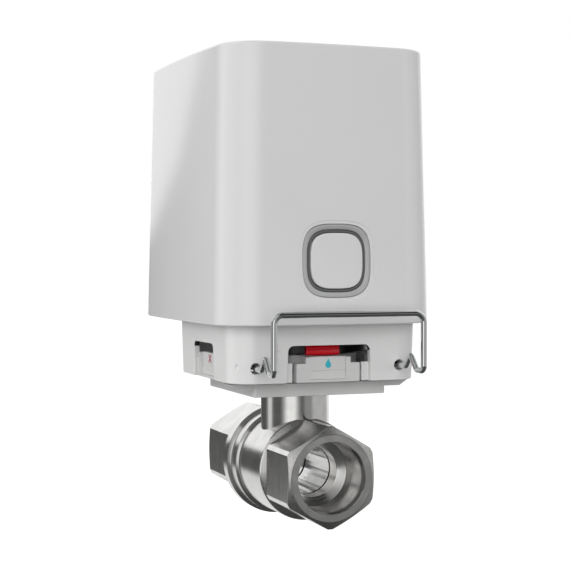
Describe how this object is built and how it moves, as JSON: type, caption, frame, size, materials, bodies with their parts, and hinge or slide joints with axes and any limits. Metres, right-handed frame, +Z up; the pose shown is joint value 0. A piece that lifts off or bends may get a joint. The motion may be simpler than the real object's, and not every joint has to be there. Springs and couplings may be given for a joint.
{
  "type": "motorized valve actuator",
  "caption": "Battery motor actuator on a screwed ball valve: tall rounded white cover, push button, base with position windows and red pointer, wire retaining clip, hex pipe ends.",
  "frame": {"origin": "centre of the ball, where the stem axis crosses the pipe axis", "axes": "+Z up the stem to the top of the cover, the pipe runs along Y with the front port and the button at -Y, +X to the right seen from the button side"},
  "size_m": [0.0822, 0.1227, 0.1693],
  "materials": {
    "nickel": "nickel-plated, satin",
    "chrome_ball": "polished",
    "brass": "machined",
    "ptfe": "waxy",
    "rubber": "matt",
    "white_plastic": "fine satin",
    "white_shell": "semi-gloss",
    "black_plastic": "gloss",
    "red_plastic": "gloss",
    "chrome_wire": "bright",
    "light_ring": "translucent",
    "dark_plastic": "satin",
    "steel": "zinc-plated",
    "acetal": "natural",
    "board": "solder mask",
    "chip": "epoxy",
    "led": "clear epoxy",
    "cell_wrap": "printed film"
  },
  "bodies": {
    "body": {"valve_body": "nickel", "valve_end_cap": "nickel", "adapter_nut": "nickel", "gland_nut": "brass", "stem_thrust_washer": "ptfe", "stem_packing": "ptfe", "seat_front": "ptfe", "seat_rear": "ptfe", "cap_seal_ring": "rubber", "base_gasket": "rubber", "adapter_plate": "white_plastic", "base_housing": "white_plastic", "bottom_panel": "white_plastic", "battery_door": "white_plastic", "cover": "white_shell", "light_ring": "light_ring", "button_bezel": "dark_plastic", "gear_plate": "dark_plastic", "tact_switch": "dark_plastic", "battery_holder": "dark_plastic", "cluster_pin": "steel", "gearhead": "steel", "motor_can": "steel", "radio_shield": "steel", "contact_strip_bottom": "steel", "contact_strip_top": "steel", "cover_screw_1": "steel", "cover_screw_2": "steel", "cover_screw_3": "steel", "cover_screw_4": "steel", "base_screw_1": "steel", "base_screw_2": "steel", "base_screw_3": "steel", "base_screw_4": "steel", "door_screw_1": "steel", "door_screw_2": "steel", "spindle_bush": "acetal", "sensor_board": "board", "main_board": "board", "hall_sensor_open": "chip", "hall_sensor_closed": "chip", "controller_chip": "chip", "ring_led": "led", "cell_1": "cell_wrap", "cell_2": "cell_wrap", "cell_3": "cell_wrap", "cell_4": "cell_wrap"},
    "drive": {"ball": "chrome_ball", "stem": "brass", "indicator_rotor": "black_plastic", "pointer_front": "red_plastic", "pointer_back": "red_plastic", "drive_spindle": "steel", "output_gear": "acetal", "spindle_screw": "steel", "position_magnet": "steel"},
    "cluster": {"cluster_gear": "acetal"},
    "pinion": {"motor_pinion": "brass"},
    "button": {"button_cap": "white_shell"},
    "clip": {"retaining_clip": "chrome_wire"}
  },
  "joints": [
    {"name": "valve_turn", "type": "hinge", "parent": "body", "child": "drive", "pos_m": [0, 0, 0], "axis": [0, 0, 1], "range_deg": [0, 90]},
    {"name": "cluster_spin", "type": "hinge", "parent": "body", "child": "cluster", "pos_m": [-0.01802, 0.01704, 0.063], "axis": [0, 0, 1], "range_deg": [-376, 1]},
    {"name": "pinion_spin", "type": "hinge", "parent": "body", "child": "pinion", "pos_m": [-0.00062, 0.02515, 0.071], "axis": [0, 0, 1], "range_deg": [-3, 1128]},
    {"name": "button_press", "type": "slide", "parent": "body", "child": "button", "axis": [0, 0.9998, -0.0206], "range_m": [0, 0.0008], "stiffness_N_per_m": 1500, "springref_m": -0.0003},
    {"name": "clip_pull", "type": "slide", "parent": "body", "child": "clip", "axis": [0, -1, 0], "range_m": [0, 0.036]}
  ],
  "couplings": [
    {"joint": "cluster_spin", "follows": "valve_turn", "ratio": -4.1667},
    {"joint": "pinion_spin", "follows": "valve_turn", "ratio": 12.5}
  ]
}
